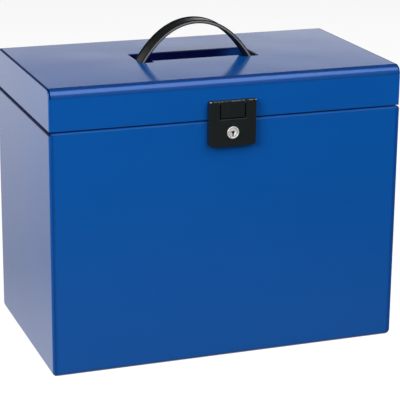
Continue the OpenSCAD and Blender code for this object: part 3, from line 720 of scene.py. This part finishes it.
def black_enamel():
    """Semi-gloss black over a casting: a fine orange peel and slightly uneven gloss, with a pale painted highlight
    in a broken line along the upper front edge and painted glints at its two corners."""
    material, wiring = finish("black_enamel")
    x, y, z = wiring.axes()
    colour = wiring.mix(wiring.noise(60, 3), (0.0105, 0.0135, 0.0140, 1), (0.0140, 0.0175, 0.0180, 1))
    # Painted highlight in a broken line along the upper front edge, and painted glints at the two corners.
    on_edge = (z > (hasp_top - 1.35) * mm) * (z < (hasp_top - 0.55) * mm) * (y < (hasp_front + 1.4) * mm)
    broken_highlight = wiring.ramp(wiring.noise(260, 1), [(0.40, 0.05), (0.62, 1.0)])
    corners = abs(x) > (hasp_half - 1.7) * mm
    colour = wiring.mix(on_edge * (broken_highlight * 0.22 + corners * 0.6), colour, (0.55, 0.55, 0.55, 1))
    peel = wiring.bump(wiring.noise(1100, 2), 0.00002)
    return paint(material, wiring, Base_Color=colour, Roughness=wiring.noise(90, 3) * 0.12 + 0.10, IOR=1.36,
                 Specular_IOR_Level=0.4, Normal=peel)


black = black_enamel()


def at_depth(line, y):
    """A front outline set back to a depth."""
    return np.column_stack([line[:, 0], np.full(len(line), y), line[:, 1]])


def over_edge(depth, radius):
    """How far in an edge stands at a depth behind the face: radius - sqrt(radius^2 - (radius - depth)^2)."""
    left = np.clip(radius - depth, 0, radius)
    return radius - math.sqrt(radius ** 2 - left ** 2)


def over_barrel(depth):
    """The same on the top edge, which is rounder, and falls away behind the pin as a barrel round it."""
    if depth < barrel_r:
        return over_edge(depth, hasp_top_edge)
    return barrel_r - math.sqrt(max(barrel_r ** 2 - (barrel_r - depth) ** 2, 0))


def hasp_levels(last):
    """Depths behind the front face at which the outline is worked out: close together over the rounded
    edge and the barrel, then on to the last."""
    edge = hasp_top_edge * (1 - np.cos(quarter(7)))
    barrel = barrel_r * (1 - np.cos(np.linspace(np.pi / 2, 2.6, 6)))
    return np.unique(np.round(np.concatenate([edge, barrel, [last]]), 4))


def flap_outline(depth, inset, lean):
    """The flap's front view at a depth, all edges moved in by inset and the sides by lean as well: two horns
    up to the pin and a notch between them."""
    x, low, top = hasp_half - lean - inset, hasp_low + inset, hasp_top - over_barrel(depth)
    inner, notch = notch_half + inset, notch_low - inset
    corner = hasp_corner - inset
    return bent([(-x, low), (x, low), (x, top), (inner, top), (inner, notch), (-inner, notch), (-inner, top),
                 (-x, top)], [corner] * 2 + [horn_corner] * 6, 5)


def hasp_flap():
    """Rows of the outline over the rounded front edge and back along the sides, with the side draft, and a
    shallow round scoop in the face; behind, the flat back and the walls of the hollow, round the lock's boss."""
    points = np.array([at_depth(flap_outline(depth, over_edge(depth, hasp_edge), draft * (1 - depth / hasp_depth)),
                                hasp_front + depth) for depth in hasp_levels(hasp_depth)])
    hollow = bent([(-hollow_x, hollow_low), (hollow_x, hollow_low), (hollow_x, hollow_top), (-hollow_x, hollow_top)],
                  [1] * 4, 4)
    walls = np.array([at_depth(hollow, y) for y in (hasp_back, hollow_front)])
    t = np.linspace(0, 2 * np.pi, 40, endpoint=False)
    circle = np.column_stack([np.cos(t), np.sin(t)])
    boss = np.array([at_depth((0, lock_z) + boss_r * circle, y) for y in (hollow_front, boss_back)])
    scoop = np.array([at_depth((0, scoop_middle) + (scoop_x * r, scoop_z * r) * circle,
                               hasp_front + scoop_deep * (1 - r * r)) for r in (1, 0.9, 0.75, 0.55, 0.3, 0.1)])
    return [patch(points), flat_with_hole(points[0], scoop[0]), patch(scoop), closing(scoop[-1]),
            flat_with_hole(points[-1], walls[0]), patch(walls), flat_with_hole(walls[1], boss[0]), patch(boss),
            closing(boss[1])]


def hasp_tab():
    """The block's outline at growing depths, with the same rounding and barrel, closed at the back. Behind
    the barrel its top drops by no more than the shoulder."""
    rows = []
    for depth in hasp_levels(-lid_y - hasp_front):
        inset, drop = over_edge(depth, hasp_edge), over_barrel(depth)
        if depth > barrel_r:
            drop = min(drop, tab_shoulder)
        x, low, top = tab_half - inset, tab_low + inset, hasp_top - drop
        line = bent([(-x, low), (x, low), (x, top), (-x, top)], [tab_corner] * 4, 5)
        rows.append(at_depth(line, hasp_front + depth))
    points = np.array(rows)
    return [patch(points), closing(points[0]), closing(points[-1])]


def turned(profile, x=0.0, y=0.0, z=0.0, along="y", steps=48, closed=False):
    """A profile of (radius, place along the axis) turned about an axis through a point."""
    t = np.linspace(0, 2 * np.pi, steps, endpoint=False)
    r, h = np.array(profile + profile[:1] if closed else profile).T[:, :, None]
    a, b, c = r * np.cos(t), r * np.sin(t), h + 0 * t
    grid = (x + a, y + c, z + b) if along == "y" else (x + c, y + a, z + b)
    points = np.stack(grid, axis=-1)
    caps = [] if closed else [closing(points[0]), closing(points[-1])]
    return [patch(points)] + caps


build("hasp_flap_casting", hasp_flap(), "flap", black, ["hasp_flap"])
build("hasp_tab_block", hasp_tab(), "lid", black, ["hasp_tab"])
pin_end = [(0.5, 23.95), (0.9, 23.8), (1.2, 23.5), (1.2, 22.5)]
pin_profile = [(r, -h) for r, h in pin_end] + pin_end[::-1]
pin_rod = turned(pin_profile, y=hasp_front + barrel_r, z=hasp_top - barrel_r, along="x", steps=32)
build("hasp_pin_rod", pin_rod, "lid", zinc, ["hasp_pin"])
wear(["hasp_tab_screws"], zinc)


# ---- Lock ----
# A cam lock: a chromed housing with a rounded rim, a plug with a round keyhole and its slot, and behind
# the flap a spring clip, the cam and its screw.

plug_front = -112.35
keyhole_r, keyhole_half, keyhole_reach, keyhole_floor = 1.5, 0.7, 3.9, -109.6


def chrome_plate():
    """Satin chrome, worn in small spots round the key's way in, and painted shade, near black, behind the face
    and down the keyhole.
    """
    material, wiring = finish("chrome_plate")
    x, y, z = wiring.axes()
    # Painted shade: near black on all that lies behind the face, down the keyhole.
    behind = wiring.rise(y, (hasp_front + 0.2) * mm, (hasp_front + 0.5) * mm)
    worn = wiring.ramp(wiring.noise(900, 3), [(0.42, 0.0), (0.60, 1.0)])
    face = wiring.mix(worn * 0.35, (0.96, 0.95, 0.93, 1), (0.35, 0.32, 0.27, 1))
    colour = wiring.mix(behind, face, (0.010, 0.010, 0.010, 1))
    return paint(material, wiring, Base_Color=colour, Metallic=0.45, Roughness=wiring.noise(700, 2) * 0.2 + 0.26)


def plug_face():
    """The plug's turned sides, its face round the keyhole, and the keyhole's walls and floor."""
    first = math.acos(keyhole_half / keyhole_r)
    t = np.linspace(-first, math.pi + first, 25)
    hole = np.concatenate([keyhole_r * np.column_stack([np.cos(t), np.sin(t)]),
                           [(-keyhole_half, -keyhole_reach), (keyhole_half, -keyhole_reach)]])
    walls = np.array([at_depth((0, lock_z) + hole, y) for y in (plug_front, keyhole_floor)])
    steps = 48
    side, _, back = turned([(4.15, plug_front), (4.4, -112.3), (4.58, -112.05), (4.6, -111.7), (4.6, -108.6)],
                           z=lock_z, steps=steps)
    return [side, back, flat_with_hole(side[0][:steps], walls[0]), patch(walls), closing(walls[1])]


chrome = chrome_plate()
housing = turned([(4.65, -108.8), (4.65, -111.9), (4.85, -112.35), (5.2, -112.65), (5.55, -112.72), (5.9, -112.6),
                  (6.1, -112.35), (6.15, -112.0), (6.15, -111.4), (5.55, -111.4), (5.55, -108.8)],
                 z=lock_z, closed=True, steps=64)
build("lock_housing", housing, "flap", chrome, ["lock_barrel"])
build("lock_plug_face", plug_face(), "lock_core", chrome, ["lock_plug"])
wear(["lock_clip", "lock_cam", "cam_screw"], zinc)


# ---- Studio ----
# A pale room and table under four soft lights: above the front, at the left, at the front right, where
# gloss doesn't mirror it, and at the right. The room is dark overhead, which gives the lid's bends their
# dark lines, and dims to the right.

def studio_world():
    """Radiance by direction: bright behind, up to 11 degrees above the horizon, and nearly dark higher up
    and in front. Towards the right it sinks to 15 percent."""
    world = bpy.data.worlds.new("studio")
    bpy.context.scene.world = world
    world.use_nodes = True
    world.node_tree.nodes.clear()
    wiring = Wiring(world.node_tree)
    x, y, z = wiring.split(wiring.node("ShaderNodeTexCoord", output="Generated"))
    height = z * 0.5 + 0.5
    behind = wiring.ramp(height, [(0.0, 0.9), (0.31, 0.76), (0.335, 0.50), (0.36, 0.62), (0.385, 0.80), (0.45, 1.0),
                                  (0.593, 1.0), (0.5995, 0.80), (0.608, 0.50), (0.6125, 0.36), (0.621, 0.07)])
    ahead = wiring.ramp(height, [(0.0, 0.20), (0.315, 0.15), (0.36, 0.005)])
    room = wiring.mix(wiring.rise(y, -0.25, 0.35), ahead, behind)
    dimmed = wiring.mix(wiring.rise(x, 0.45, 0.8, low=1.0, high=0.15), (0, 0, 0, 1), room)
    shade = wiring.node("ShaderNodeBackground", {"Color": dimmed, "Strength": 1.25})
    out = world.node_tree.nodes.new("ShaderNodeOutputWorld")
    wiring.join(out.inputs["Surface"], shade)


def soft_light(name, place, aim, size, power, mirrored=True):
    """A square area light of that size in metres, aimed at a point; gloss doesn't mirror it if not mirrored."""
    lamp = bpy.data.lights.new(name, "AREA")
    lamp.size = size
    lamp.energy = power
    holder = bpy.data.objects.new(name, lamp)
    bpy.context.scene.collection.objects.link(holder)
    holder.location = place
    holder.rotation_euler = (Vector(aim) - Vector(place)).to_track_quat("-Z", "Y").to_euler()
    holder.visible_glossy = mirrored


def table_top():
    """A wide white table that glows a little, so that shadows on it stay faint."""
    r = 60
    mesh = bpy.data.meshes.new("table_top")
    mesh.from_pydata([(-r, -r, 0), (r, -r, 0), (r, r, 0), (-r, r, 0)], [], [(0, 1, 2, 3)])
    top = bpy.data.objects.new("table_top", mesh)
    bpy.context.scene.collection.objects.link(top)
    material, wiring = finish("table_white")
    mesh.materials.append(paint(material, wiring, Base_Color=(0.35, 0.35, 0.35, 1), Roughness=0.9,
                                Specular_IOR_Level=0.0, Emission_Color=(0.85, 0.85, 0.85, 1), Emission_Strength=1.0))
    top.visible_glossy = False
    top.visible_diffuse = False


studio_world()
table_top()
soft_light("overhead", (0.38, -0.78, 1.54), (0, 0, 0.2), 1.15, 10)
soft_light("left", (-1.50, -1.16, 1.14), (0, 0, 0.15), 1.1, 38)
soft_light("front_right", (0.77, -1.87, 1.03), (0, 0, 0.15), 1.2, 15, mirrored=False)
soft_light("right", (2.2, -0.55, 0.95), (0, 0, 0.2), 0.6, 9)
bpy.context.scene.view_settings.view_transform = "Standard"
